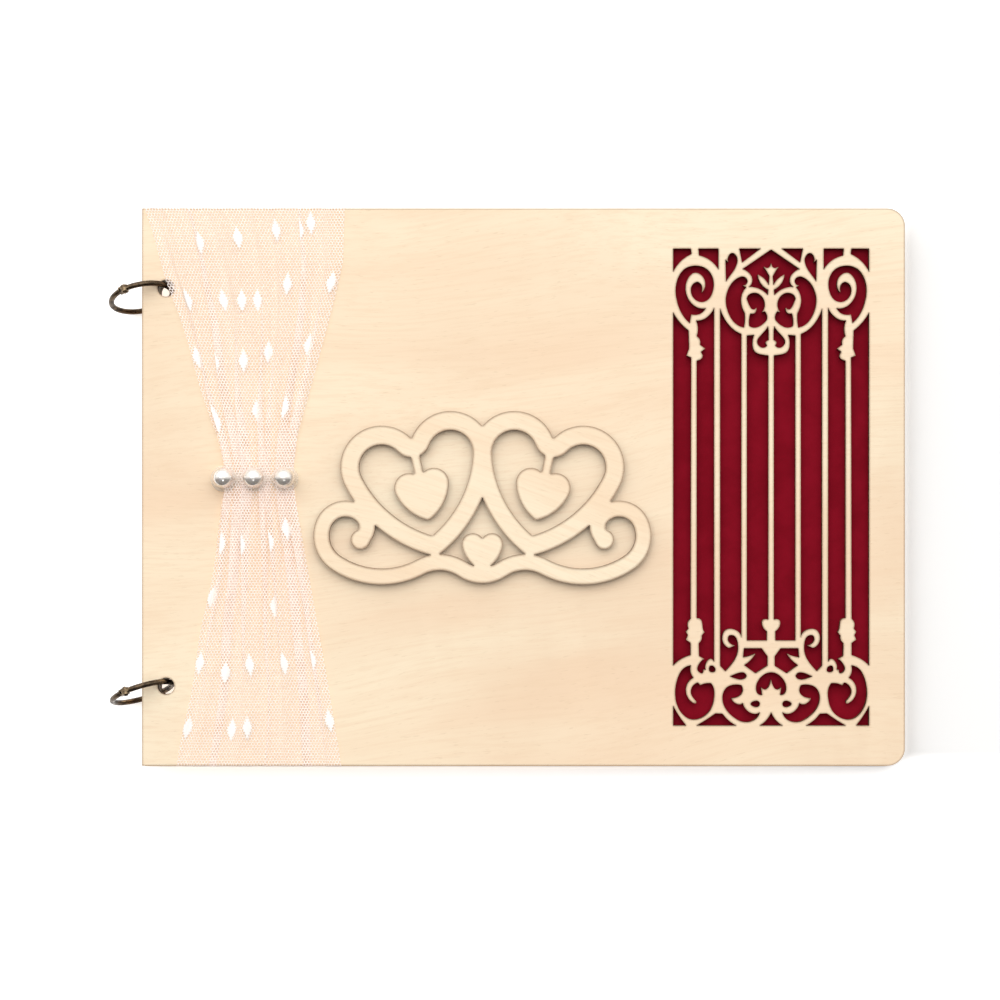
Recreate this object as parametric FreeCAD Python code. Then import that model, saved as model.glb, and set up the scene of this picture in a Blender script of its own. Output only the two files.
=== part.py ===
"""A wedding guest book, in millimetres.

Two plywood covers and sixteen card leaves hang on two hinged book rings. The front cover has a gate
cut through it over a crimson card, a raised plywood motif of hearts, and a gathered tulle strip with
three pearls.

Frame: +X to the fore edge, +Y to the head of the page, +Z out of the front cover. The origin lies on
the outer face of the back cover, under the middle of the front cover.
"""

import FreeCAD, Part
import math
import os

from FreeCAD import Placement, Rotation, Vector

# covers
BOOK_LENGTH = 260.0
BOOK_HEIGHT = 190.0
PLY = 2.7
FORE_CORNER_R = 6.0
BACK_SHIFT = -1.0  # the back cover has slid towards the foot, as the leaning rings let it
RING_MARGIN = 15.0  # the strip along the spine that the rings hang under

# leaves
LEAVES = 16
LEAF_PITCH = 0.30
LEAF_THICKNESS = 0.27
LEAF_INSET_FORE = 2.5
LEAF_INSET_EDGE = 1.5
LEAF_INSET_SPINE = 1.0
LEAF_CORNER_R = 4.0

# the card behind the window
CARD_LAYER = 0.40
CARD_THICKNESS = 0.37
CARD_MARGIN = 7.0

# rings and their holes
HOLE_FROM_SPINE = 8.2
HOLE_SPACING = 135.6
COVER_HOLE_R = 2.85
LEAF_HOLE_R = 3.05
RING_R = 10.5
WIRE_R = 0.95
HOLE_REACH = 9.3  # from a ring's centre to the middle of its hole
KNUCKLE_ANGLE = 112.0
KNUCKLE_R = 1.35
KNUCKLE_REACH = 8.5  # degrees of wire taken up by the knuckle, each side
TONGUE_HALF = 0.45
EAR_INNER = 0.50
EAR_OUTER = 1.10
RIVET_R = 0.40
RIVET_HOLE_R = 0.45
RIVET_HEAD_R = 0.90
RIVET_HEAD_H = 0.50
SNAP_GAP = 0.4  # degrees
NIB_R = 0.45
NIB_LENGTH = 1.2
SOCKET_R = 0.55
SOCKET_DEPTH = 1.4
# each ring at rest: turned towards the foot, leaning towards the head, and its offset in the hole
UPPER_RING_POSE = (14.0, 19.5, -0.55)
LOWER_RING_POSE = (18.0, 14.0, 0.35)

# the window with the gate
WINDOW_X = 84.4
WINDOW_HALF_W = 33.4
WINDOW_HALF_H = 81.3

# the raised motif
MOTIF_X = -14.0
MOTIF_Y = -4.75
MOTIF_THICKNESS = 2.6
HEART_WIDTH = 52.0
HEART_STROKE = 6.4
HEART_TILT = 12.0
HEART_X = 20.5
HEART_Y = 4.4
SMALL_HEART_SHARE = 0.36
SMALL_HEART_DROP = 2.6
NECK_WIDTH = 3.0
CENTRE_HEART_WIDTH = 14.0
CENTRE_HEART_Y = -17.4

# tulle and pearls
TULLE_THICKNESS = 0.8
TULLE_WRAP = 0.5
TULLE_RETURN = 12.0
TULLE_TOP = (-129.5, -60.8)
TULLE_WAIST = (-101.7, -78.6)
TULLE_BOTTOM = (-118.0, -62.0)
WAIST_Y = 3.2
STRAIGHT_TO_Y = 77.0
RING_CLEARANCE_R = 4.2
PEARL_R = 3.6
PEARL_X = (-102.0, -91.7, -81.3)
GLUE_R = 4.3
GLUE_THICKNESS = 0.3
GLUE_STRIP_WIDTHS = (3.0, 1.6)
PEARL_SEAT = 0.35  # how much of each pearl is flattened where it is glued

# heights in the closed book
LEAVES_Z = PLY
CARD_Z = LEAVES_Z + LEAVES * LEAF_PITCH
FRONT_Z = CARD_Z + CARD_LAYER
FRONT_TOP = FRONT_Z + PLY
MIDDLE_Z = FRONT_TOP / 2
SPINE_X = -BOOK_LENGTH / 2
FORE_X = BOOK_LENGTH / 2
HALF_H = BOOK_HEIGHT / 2
HOLE_X = SPINE_X + HOLE_FROM_SPINE

UP = Vector(0, 0, 1)
RING_AXIS = Vector(0, -1, 0)

# Openings of the gate's left half. Each is a list of stretches that closes on itself: one point is a
# straight run to it, more points are a smooth curve through them. X is from the gate's middle line, and
# Y is from the window's top edge (downwards is negative) or from its bottom edge.
HEAD_OPENINGS = {
    "outer_corner": [
        [(-27.3, 0)], [(-27.1, -1.9)], [(-30.4, -4.0), (-33.4, -8.0)], [(-33.4, 0)],
    ],
    "inner_corner": [
        [(-17.9, 0)], [(-17.9, -7.2)], [(-20.7, -4.1), (-24.6, -2.4)], [(-24.8, 0)],
    ],
    "leaf": [
        [(-14.0, -5.1)],
        [(-14.7, -2.9), (-13.3, -1.5), (-11.7, -2.7), (-11.6, -5.2), (-13.0, -8.0), (-15.4, -11.3)],
        [(-15.6, -3.7)],
    ],
    "gable_corner": [[(-3.5, 0)], [(-9.9, -4.8)], [(-10.9, 0)]],
    "crescent": [
        [(-8.7, -12.4), (-8.0, -11.1), (-9.2, -9.6), (-11.7, -10.2), (-14.4, -13.3), (-15.5, -17.7),
         (-14.7, -21.7), (-12.5, -25.3), (-9.2, -27.0)],
        [(-8.9, -25.0), (-8.9, -22.1)],
        [(-9.8, -20.1), (-10.2, -17.4), (-9.6, -14.9), (-8.4, -13.2)],
        [(-9.6, -12.5)],
    ],
    "eye": [
        [(-7.3, -15.5), (-5.2, -15.1), (-3.0, -16.5), (-2.1, -19.0), (-3.0, -21.6)],
        [(-2.1, -21.4)],
        [(-1.3, -23.1), (-1.5, -24.5)],
        [(-3.2, -26.1), (-5.4, -27.0), (-7.5, -26.4)],
        [(-7.6, -24.5), (-7.1, -22.1)],
        [(-5.7, -22.0), (-5.0, -20.2)],
        [(-6.2, -20.8), (-7.5, -19.3), (-8.4, -17.1)],
    ],
    "heart_loop": [
        [(-3.2, -29.2), (-4.8, -32.1), (-3.2, -33.8), (-1.3, -33.0)],
        [(-1.8, -32.0), (-0.8, -31.2)],
        [(-0.8, -28.0)],
        [(-1.1, -26.4)],
    ],
    "volute": [
        [(-29.9, -23.1), (-31.9, -18.8), (-32.6, -14.4), (-31.8, -10.1), (-29.3, -6.8), (-25.5, -5.8),
         (-22.0, -6.9), (-19.8, -10.1), (-19.7, -14.1), (-21.2, -17.2), (-23.5, -18.3)],
        [(-25.8, -17.5), (-27.2, -15.5), (-27.1, -12.8), (-25.1, -11.3)],
        [(-24.0, -12.0), (-23.6, -14.9)],
        [(-22.5, -12.0), (-23.8, -9.1), (-26.1, -8.3), (-28.2, -10.1), (-29.1, -13.3), (-28.2, -17.1),
         (-25.8, -19.7), (-22.2, -20.3)],
        [(-24.0, -22.2), (-27.2, -22.5)],
        [(-27.7, -25.5)],
    ],
}
FOOT_OPENINGS = {
    "corner": [[(-31.4, 3.4), (-28.9, 0)], [(-33.4, 0)], [(-33.4, 6.8)]],
    "base_slot": [
        [(-21.9, 2.2), (-19.0, 4.2)], [(-16.6, 4.1)], [(-14.4, 1.7), (-11.8, 0)], [(-25.5, 0)],
    ],
    "scroll": [
        [(-29.9, 19.5), (-32.2, 15.2), (-32.7, 9.8), (-31.0, 4.9), (-27.4, 2.1), (-24.2, 2.4),
         (-20.6, 5.4), (-19.4, 9.2), (-19.6, 13.0), (-20.5, 14.5)],
        [(-22.6, 14.4), (-24.2, 13.8)],
        [(-24.9, 14.7)],
        [(-26.9, 13.3), (-27.4, 11.3), (-26.6, 9.5), (-25.6, 8.4)],
        [(-25.6, 7.7), (-26.5, 7.8)],
        [(-28.3, 9.5), (-29.0, 12.4), (-28.1, 14.9), (-26.4, 16.3)],
        [(-27.2, 17.6), (-27.3, 20.6)],
    ],
    "bud": [[(-20.5, 20.5), (-19.3, 20.0), (-19.1, 18.5), (-20.4, 18.2), (-21.2, 19.5)]],
    "almond": [[(-11.8, 17.8), (-9.1, 18.0), (-8.3, 16.9)], [(-9.2, 15.9), (-11.8, 15.9), (-14.1, 16.8)]],
    "crescent": [
        [(-12.8, 14.0), (-15.2, 13.0), (-16.6, 10.0), (-15.8, 6.2), (-13.0, 3.0), (-9.5, 1.2),
         (-6.0, 1.7), (-3.8, 4.6)],
        [(-6.2, 4.1), (-8.4, 5.4), (-9.6, 7.8)],
        [(-10.6, 7.3), (-12.2, 7.7), (-13.5, 9.3)],
        [(-11.7, 9.6), (-10.2, 10.6), (-10.1, 13.8)],
    ],
    "panel": [
        [(-3.2, 26.4)], [(-1.2, 23.6)], [(-1.2, 20.4)], [(-5.3, 17.8)], [(-9.2, 20.6)],
        [(-6.9, 22.5), (-5.4, 24.5)], [(-7.4, 23.7), (-9.6, 23.2)], [(-9.3, 26.4)],
    ],
    "oval": [[(-3.8, 7.4), (-5.4, 8.5), (-7.0, 7.4), (-5.4, 6.3), (-3.8, 7.4)]],
}

# The tall slots between the bars: the head stretch runs from the left bar to the right one, the foot
# stretch runs back. Y is from the window's top edge and from its bottom edge.
TALL_SLOTS = {
    "outer": (
        [[(-33.4, -21.7)], [(-31.2, -25.0), (-28.1, -27.9)], [(-27.9, -34.0)], [(-28.8, -36.5)],
         [(-27.2, -37.1)]],
        [[(-27.4, 36.4)], [(-28.3, 35.2), (-28.1, 33.1)], [(-29.0, 32.0)], [(-28.3, 30.8)],
         [(-29.0, 29.3)], [(-27.4, 28.2)], [(-27.4, 24.0)], [(-30.6, 22.7), (-33.4, 20.4)]],
    ),
    "second": (
        [[(-25.4, -38.2)], [(-23.4, -36.9), (-24.0, -35.2)], [(-22.5, -34.1)], [(-24.3, -32.8)],
         [(-24.3, -31.2), (-25.4, -29.9)], [(-25.0, -28.0), (-25.6, -24.5)],
         [(-23.6, -24.3), (-21.2, -22.8), (-19.4, -20.1)]],
        [[(-19.4, 21.7)], [(-20.8, 22.7), (-22.1, 21.3), (-22.2, 19.1)], [(-23.1, 19.0)],
         [(-23.5, 17.8), (-25.0, 18.7), (-24.7, 20.9), (-22.8, 22.7)], [(-24.6, 23.7)],
         [(-24.7, 28.1)], [(-23.8, 29.2), (-23.7, 30.7)], [(-22.7, 31.9)],
         [(-23.4, 33.9), (-23.8, 35.9), (-25.4, 36.6)]],
    ),
    "third": (
        [[(-17.4, -20.4)], [(-15.5, -24.5), (-13.0, -27.4), (-10.1, -29.1)]],
        [[(-10.1, 30.0)], [(-13.2, 32.9), (-15.4, 32.6), (-16.6, 30.1), (-16.0, 27.8), (-14.3, 26.5)],
         [(-12.4, 27.3)],
         [(-14.0, 28.0), (-14.8, 29.3), (-14.3, 30.7), (-12.7, 30.7), (-11.3, 28.0), (-11.5, 24.4),
          (-13.2, 21.2), (-15.6, 18.5)],
         [(-17.4, 20.4)]],
    ),
    "inner": (
        [[(-8.3, -29.6)], [(-5.7, -29.4)],
         [(-6.3, -32.3), (-5.4, -35.2), (-3.2, -36.1), (-0.9, -36.4)]],
        [[(-0.9, 36.1)], [(-3.0, 35.6), (-2.8, 33.8), (-1.4, 32.2)], [(-1.4, 29.0)], [(-8.3, 29.0)]],
    ),
}

# The gable opening and the crown arch cross the gate's middle line, so only their left halves are given.
GABLE_APEX = (0.0, -0.3)
GABLE_HALF = [
    [(-9.8, -7.0)],
    [(-7.6, -8.3), (-6.5, -10.1), (-6.7, -12.0), (-7.7, -13.1)],
    [(-5.4, -13.3), (-3.0, -14.3), (-1.1, -15.9)],
    [(-0.9, -14.0)],
    [(-3.0, -12.5), (-4.1, -10.7), (-4.5, -8.9)],
    [(-2.6, -10.1), (-0.8, -12.5)],
    [(-0.5, -9.5)],
    [(-1.3, -8.0), (-2.5, -6.2)],
    [(-0.9, -6.6), (0.0, -5.0)],
]
ARCH_TOP = (0.0, 18.2)
ARCH_HALF = [
    [(-1.8, 17.8), (-4.0, 16.0), (-5.2, 13.0), (-4.7, 11.0), (-3.0, 10.4)],
    [(-3.4, 13.0)],
    [(-1.6, 12.4), (-0.6, 13.6), (0.0, 15.7)],
]
BASE_CENTRE_HALF_W = 4.0
BASE_CENTRE_TOP = 4.6

# the scroll under the hearts, from the motif's middle to its right end: arcs that follow on from each
# other, each with its radius and its turn in degrees, to the left or to the right (negative)
SCROLL_Y = -25.2
SCROLL_WIDTH = 5.4
SCROLL_ARCS = [(12.0, 34.0), (14.0, -62.0), (28.0, 62.0), (11.0, 80.0), (8.0, 116.0), (5.2, 96.0)]
BALL_R = 3.3


def face_of(wires):
    """A flat face from an outer wire and the wires of its holes."""
    return Part.makeFace(wires, "Part::FaceMakerBullseye")


def plate(wires, z, thickness):
    face = face_of(wires)
    solid = face.extrude(UP * thickness)
    solid.translate(UP * z)
    return solid


def spline(points):
    curve = Part.BSplineCurve()
    curve.interpolate(points)
    return curve


def stretches_wire(stretches, place, start=None):
    """A closed wire through stretches, with place turning each pair into a point of the model."""
    here = place(start or stretches[-1][-1])
    first = here
    edges = []
    for stretch in stretches:
        points = [place(pair) for pair in stretch]
        if len(points) == 1:
            edges.append(Part.makeLine(here, points[0]))
        else:
            through = points if points[0].isEqual(here, 1e-6) else [here] + points
            edges.append(spline(through).toShape())
        here = points[-1]
    if not here.isEqual(first, 1e-6):
        edges.append(Part.makeLine(here, first))
    return Part.Wire(edges)


def circle_wire(x, y, radius):
    return Part.Wire(Part.makeCircle(radius, Vector(x, y, 0)))


def sheet_outline(x0, x1, y0, y1, fore_radius, spine_radius=0.0):
    """A sheet's outline, with its own corner radii at the spine and at the fore edge."""
    corners = [(x0, y0, spine_radius), (x1, y0, fore_radius), (x1, y1, fore_radius), (x0, y1, spine_radius)]
    middle = Vector((x0 + x1) / 2, (y0 + y1) / 2, 0)
    ends = []
    for x, y, radius in corners:
        inward_x = radius if x < middle.x else -radius
        inward_y = radius if y < middle.y else -radius
        along_x = Vector(x + inward_x, y, 0)
        along_y = Vector(x, y + inward_y, 0)
        corner = Vector(x, y, 0)
        centre = Vector(x + inward_x, y + inward_y, 0)
        halfway = centre + (corner - centre).normalize() * radius if radius else corner
        ends.append((along_x, along_y, halfway, radius))
    order = []
    for index, (along_x, along_y, _, _) in enumerate(ends):
        order.append((along_x, along_y) if index % 2 else (along_y, along_x))
    edges = []
    for index, (entry, leave) in enumerate(order):
        if ends[index][3]:
            edges.append(Part.Arc(entry, ends[index][2], leave).toShape())
        edges.append(Part.makeLine(leave, order[(index + 1) % 4][0]))
    return Part.Wire(edges)


def ring_holes(radius, shift):
    return [circle_wire(HOLE_X, sign * HOLE_SPACING / 2 + shift, radius) for sign in (1, -1)]


def gate_openings():
    """The wires of everything cut out of the front cover's window."""
    top = WINDOW_HALF_H
    wires = []
    for side in (1, -1):

        def at_head(pair):
            return Vector(WINDOW_X + side * pair[0], top + pair[1], 0)

        def at_foot(pair):
            return Vector(WINDOW_X + side * pair[0], pair[1] - top, 0)

        def whole(pair):
            return Vector(WINDOW_X + side * pair[0], pair[1], 0)

        wires += [stretches_wire(stretches, at_head) for stretches in HEAD_OPENINGS.values()]
        wires += [stretches_wire(stretches, at_foot) for stretches in FOOT_OPENINGS.values()]
        for head, foot in TALL_SLOTS.values():
            stretches = [[(x, y + top) for x, y in stretch] for stretch in head]
            stretches += [[(x, y - top) for x, y in stretch] for stretch in foot]
            wires.append(stretches_wire(stretches, whole))
    wires.append(mirrored_wire(GABLE_APEX, GABLE_HALF, top))
    wires.append(mirrored_wire(ARCH_TOP, ARCH_HALF, -top))
    half, rise = BASE_CENTRE_HALF_W, BASE_CENTRE_TOP
    base = [[(-0.4 * half, 0.42 * rise), (0, rise)], [(0.4 * half, 0.42 * rise), (half, 0)], [(-half, 0)]]
    wires.append(stretches_wire(base, lambda pair: Vector(WINDOW_X + pair[0], pair[1] - top, 0)))
    return wires


def mirrored_wire(start, half, level):
    """A wire given by its left half: from start, on the middle line, round to the middle line again."""
    flat = [[start]] + half
    back = []
    for index in range(len(half) - 1, -1, -1):
        targets = [flat[index][-1]] if len(half[index]) == 1 else half[index][:-1][::-1] + [flat[index][-1]]
        back.append([(-x, y) for x, y in targets])
    return stretches_wire(half + back, lambda pair: Vector(WINDOW_X + pair[0], pair[1] + level, 0), start)


def make_front_cover():
    outline = sheet_outline(SPINE_X, FORE_X, -HALF_H, HALF_H, FORE_CORNER_R)
    return plate([outline] + ring_holes(COVER_HOLE_R, 0) + gate_openings(), FRONT_Z, PLY)


def make_back_cover():
    """One board. A line across its faces parts the strip under the rings from the flat that it rests on."""
    foot = BACK_SHIFT - HALF_H
    outline = sheet_outline(SPINE_X, FORE_X, foot, foot + BOOK_HEIGHT, FORE_CORNER_R)
    board = plate([outline] + ring_holes(COVER_HOLE_R, BACK_SHIFT), 0, PLY)
    strip = Part.makeBox(RING_MARGIN, BOOK_HEIGHT, PLY, Vector(SPINE_X, foot, 0))
    return board.cut(strip).fuse(board.common(strip)).Solids[0]


def make_leaf(number):
    """Leaf 1 lies on the back cover. The leaves share out the back cover's slide."""
    shift = BACK_SHIFT * (1 - number / (LEAVES + 1))
    half = HALF_H - LEAF_INSET_EDGE
    outline = sheet_outline(
        SPINE_X + LEAF_INSET_SPINE, FORE_X - LEAF_INSET_FORE, shift - half, shift + half, LEAF_CORNER_R
    )
    z = LEAVES_Z + (number - 1) * LEAF_PITCH + (LEAF_PITCH - LEAF_THICKNESS) / 2
    return plate([outline] + ring_holes(LEAF_HOLE_R, shift), z, LEAF_THICKNESS)


def make_window_card():
    half_w = WINDOW_HALF_W + CARD_MARGIN
    half_h = WINDOW_HALF_H + CARD_MARGIN
    corner = Vector(WINDOW_X - half_w, -half_h, FRONT_Z - CARD_THICKNESS)
    return Part.makeBox(2 * half_w, 2 * half_h, CARD_THICKNESS, corner)


def on_circle(centre, radius, degrees):
    turn = math.radians(degrees)
    return centre + Vector(math.cos(turn), math.sin(turn), 0) * radius


def mirrored_halves(edges):
    """A closed wire from its right half."""
    mirror = [edge.mirror(Vector(0, 0, 0), Vector(1, 0, 0)) for edge in edges]
    return Part.Wire(Part.__sortEdges__(edges + mirror))


def heart_wire(width, inset=0.0):
    """A heart of two round lobes and two long arcs to its tip, or a line an even inset inside it."""
    lobe_r = 0.27 * width
    lobe = Vector(0.5 * width - lobe_r, 0.19 * width, 0)
    flank_r = 0.88 * width
    turn = -15.0
    flank = on_circle(lobe, flank_r - lobe_r, turn + 180)
    notch = Vector(0, lobe.y + math.sqrt(lobe_r**2 - lobe.x**2), 0)
    inner_lobe_r = lobe_r - inset
    inner_flank_r = flank_r - inset
    notch_turn = math.degrees(math.atan2(notch.y - lobe.y, -lobe.x))
    crest = on_circle(lobe, inner_lobe_r, (notch_turn + turn) / 2)
    top = on_circle(lobe, inner_lobe_r, notch_turn)
    side = on_circle(lobe, inner_lobe_r, turn)
    tip_turn = -math.degrees(math.acos(-flank.x / inner_flank_r))
    middle = on_circle(flank, inner_flank_r, (turn + tip_turn) / 2)
    tip = on_circle(flank, inner_flank_r, tip_turn)
    half = [Part.Arc(top, crest, side).toShape(), Part.Arc(side, middle, tip).toShape()]
    if not inset:
        return mirrored_halves(half)
    under_notch = Vector(0, notch.y - inset, 0)
    between = on_circle(notch, inset, (notch_turn - 180 - 90) / 2)
    half.append(Part.Arc(under_notch, between, top).toShape())
    return mirrored_halves(half)


def heart_frame(width, stroke):
    """An open heart with an even stroke, and a small heart hung from its notch."""
    frame = plate([heart_wire(width), heart_wire(width, stroke)], 0, MOTIF_THICKNESS)
    small_width = width * SMALL_HEART_SHARE
    small = plate([heart_wire(small_width)], 0, MOTIF_THICKNESS)
    small.translate(Vector(0, -SMALL_HEART_DROP, 0))
    neck_foot = small_width * 0.2 - SMALL_HEART_DROP
    neck_top = width * 0.28 - stroke * 0.5
    neck_corner = Vector(-NECK_WIDTH / 2, neck_foot, 0)
    neck = Part.makeBox(NECK_WIDTH, neck_top - neck_foot, MOTIF_THICKNESS, neck_corner)
    return frame.multiFuse([small, neck])


def scroll_wire():
    """A ribbon of even width along arcs, the same to each side of the motif's middle."""
    position = Vector(0, SCROLL_Y, 0)
    heading = 0.0
    upper, lower = [], []
    for radius, turn in SCROLL_ARCS:
        side = 1 if turn > 0 else -1
        centre = on_circle(position, side * radius, heading + 90)
        above, below = [], []
        for share in (0, 0.5, 1):
            across = heading + turn * share + 90
            position = on_circle(centre, -side * radius, across)
            above.append(on_circle(position, SCROLL_WIDTH / 2, across))
            below.append(on_circle(position, -SCROLL_WIDTH / 2, across))
        heading += turn
        upper.append(Part.Arc(*above).toShape())
        lower.append(Part.Arc(*below).toShape())
    ahead = on_circle(position, SCROLL_WIDTH / 2, heading)
    cap = Part.Arc(above[-1], ahead, below[-1]).toShape()
    return mirrored_halves(upper + lower + [cap]), position


def make_heart_motif():
    """Two linked hearts with a small heart in each, over a scroll that ends in a ball to each side."""
    scroll, scroll_end = scroll_wire()
    centre = plate([heart_wire(CENTRE_HEART_WIDTH)], 0, MOTIF_THICKNESS)
    centre.translate(Vector(0, CENTRE_HEART_Y, 0))
    pieces = [centre]
    for side in (1, -1):
        frame = heart_frame(HEART_WIDTH, HEART_STROKE)
        frame.Placement = Placement(Vector(side * HEART_X, HEART_Y, 0), Rotation(UP, -side * HEART_TILT))
        pieces.append(frame)
        ball = circle_wire(side * scroll_end.x, scroll_end.y, BALL_R)
        pieces.append(plate([ball], 0, MOTIF_THICKNESS))
    motif = plate([scroll], 0, MOTIF_THICKNESS).multiFuse(pieces).removeSplitter()
    motif.translate(Vector(MOTIF_X, MOTIF_Y, FRONT_TOP))
    return motif.Solids[0]


def make_tulle():
    """The gathered strip: spread at the head and foot, narrow at the waist, and folded over both edges."""
    z = FRONT_TOP
    top_l, top_r = TULLE_TOP
    waist_l, waist_r = TULLE_WAIST
    foot_l, foot_r = TULLE_BOTTOM
    head_l = Vector(top_l, HALF_H, 0)
    head_r = Vector(top_r, HALF_H, 0)
    shoulder_r = Vector(top_r, STRAIGHT_TO_Y, 0)
    heel_l = Vector(foot_l, -HALF_H, 0)
    heel_r = Vector(foot_r, -HALF_H, 0)
    left = spline([heel_l, Vector(waist_l - 7, -HALF_H * 0.45, 0), Vector(waist_l, WAIST_Y, 0),
                   Vector(waist_l - 13, HALF_H * 0.52, 0), head_l])
    right = spline([shoulder_r, Vector(waist_r + 8, HALF_H * 0.42, 0), Vector(waist_r, WAIST_Y, 0),
                    Vector(waist_r + 7, -HALF_H * 0.45, 0), heel_r])
    outline = Part.Wire([left.toShape(), Part.makeLine(head_l, head_r), Part.makeLine(head_r, shoulder_r),
                         right.toShape(), Part.makeLine(heel_r, heel_l)])
    pieces = [plate([outline], z, TULLE_THICKNESS)]
    under = FRONT_Z - CARD_THICKNESS
    for sign, low, high in ((1, top_l, top_r), (-1, foot_l, foot_r)):
        y0 = HALF_H if sign > 0 else -HALF_H - TULLE_WRAP
        rise = z + TULLE_THICKNESS - under
        pieces.append(Part.makeBox(high - low, TULLE_WRAP, rise, Vector(low, y0, under)))
        y1 = HALF_H - TULLE_RETURN if sign > 0 else -HALF_H
        pieces.append(Part.makeBox(high - low, TULLE_RETURN, CARD_THICKNESS, Vector(low, y1, under)))
    tulle = pieces[0].multiFuse(pieces[1:]).removeSplitter()
    room = Part.makeCylinder(RING_CLEARANCE_R, 20, Vector(HOLE_X, HOLE_SPACING / 2, 0))
    return tulle.cut(room)


def make_glue():
    """Clear glue: a thin round pad under each pearl, joined in a row."""
    z = FRONT_TOP + TULLE_THICKNESS
    pads = [Part.makeCylinder(GLUE_R, GLUE_THICKNESS, Vector(x, WAIST_Y, z)) for x in PEARL_X]
    for start, end, width in zip(PEARL_X, PEARL_X[1:], GLUE_STRIP_WIDTHS):
        strip = Part.makeBox(end - start, width, GLUE_THICKNESS, Vector(start, WAIST_Y - width / 2, z))
        pads.append(strip)
    return pads[0].multiFuse(pads[1:]).removeSplitter()


def make_pearl(x):
    """A round bead, flattened a little where it is glued."""
    seat = FRONT_TOP + TULLE_THICKNESS + GLUE_THICKNESS
    centre = Vector(x, WAIST_Y, seat + PEARL_R - PEARL_SEAT)
    bead = Part.makeSphere(PEARL_R, centre)
    side = 4 * PEARL_R
    above = Part.makeBox(side, side, side, Vector(x - side / 2, WAIST_Y - side / 2, seat))
    return bead.common(above)


def ring_point(angle):
    turn = math.radians(angle)
    return Vector(-HOLE_REACH + RING_R * math.cos(turn), 0, RING_R * math.sin(turn))


def ring_tangent(angle):
    turn = math.radians(angle)
    return Vector(-math.sin(turn), 0, math.cos(turn))


def ring_wire_arc(start, end):
    """A length of ring wire between two angles, counted from +X towards +Z, about the ring's centre."""
    section = Part.Face(Part.Wire(Part.makeCircle(WIRE_R, ring_point(start), ring_tangent(start))))
    return section.revolve(Vector(-HOLE_REACH, 0, 0), RING_AXIS, end - start)


def knuckle_plate(toward, y0, y1):
    """A rounded plate about the rivet that runs back into the wire on one side: toward is -1 or 1."""
    pin = ring_point(KNUCKLE_ANGLE)
    disc = Part.makeCylinder(KNUCKLE_R, y1 - y0, Vector(pin.x, y0, pin.z), Vector(0, 1, 0))
    root = ring_point(KNUCKLE_ANGLE + toward * (KNUCKLE_REACH + 3))
    along = root - pin
    length = along.Length
    arm = Part.makeBox(length, y1 - y0, 2 * WIRE_R * 0.9, Vector(0, 0, -WIRE_R * 0.9))
    tilt = math.degrees(math.atan2(along.z, along.x))
    arm.Placement = Placement(Vector(pin.x, y0, pin.z), Rotation(Vector(0, -1, 0), tilt))
    bore = Part.makeCylinder(RIVET_HOLE_R, 4, Vector(pin.x, -2, pin.z), Vector(0, 1, 0))
    return disc.fuse(arm).cut(bore)


def straight_inner_half():
    """The half that passes through the book, with the rivet's tongue and the snap's socket."""
    wire = ring_wire_arc(KNUCKLE_ANGLE - 180 + SNAP_GAP, KNUCKLE_ANGLE - KNUCKLE_REACH)
    tongue = knuckle_plate(-1, -TONGUE_HALF, TONGUE_HALF)
    half = wire.fuse(tongue)
    mouth = KNUCKLE_ANGLE - 180
    socket = Part.makeCylinder(SOCKET_R, SOCKET_DEPTH + 0.2, ring_point(mouth), ring_tangent(mouth))
    return half.cut(socket)


def straight_outer_half():
    """The half outside the spine, with the rivet's two ears and the snap's nib."""
    half = ring_wire_arc(KNUCKLE_ANGLE + KNUCKLE_REACH, KNUCKLE_ANGLE + 180 - SNAP_GAP)
    ears = [knuckle_plate(1, EAR_INNER, EAR_OUTER), knuckle_plate(1, -EAR_OUTER, -EAR_INNER)]
    mouth = KNUCKLE_ANGLE + 180 - SNAP_GAP
    nib = Part.makeCylinder(NIB_R, NIB_LENGTH, ring_point(mouth), ring_tangent(mouth))
    return half.multiFuse(ears + [nib])


def straight_rivet():
    pin = ring_point(KNUCKLE_ANGLE)
    axis = Vector(0, 1, 0)
    rivet = Part.makeCylinder(RIVET_R, 2 * EAR_OUTER, Vector(pin.x, -EAR_OUTER, pin.z), axis)
    for sign in (1, -1):
        rim = Vector(pin.x, sign * EAR_OUTER, pin.z)
        head = Part.makeCone(RIVET_HEAD_R, RIVET_HEAD_R * 0.55, RIVET_HEAD_H, rim, axis * sign)
        rivet = rivet.fuse(head)
    return rivet


def ring_rotation(pose):
    turn, lean, _ = pose
    return Rotation(UP, turn) * Rotation(Vector(1, 0, 0), -lean)


def ring_pivot(pose, side):
    return Vector(HOLE_X, side * HOLE_SPACING / 2 + pose[2], MIDDLE_Z)


def ring_parts(name, pose, side):
    """A ring's three pieces, standing as the closed book holds them."""
    place = Placement(ring_pivot(pose, side), ring_rotation(pose))
    shapes = {
        f"{name}_inner_half": straight_inner_half(),
        f"{name}_outer_half": straight_outer_half(),
        f"{name}_rivet": straight_rivet(),
    }
    for shape in shapes.values():
        shape.Placement = place.multiply(shape.Placement)
    return shapes


def print_ring_joint(name, pose, side):
    """Prints the hinge that stands the ring up straight as the cover opens."""
    rotation = ring_rotation(pose).inverted()
    print(name, "pivot", ring_pivot(pose, side), "axis", rotation.Axis)
    print(name, "degrees", math.degrees(rotation.Angle))


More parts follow.
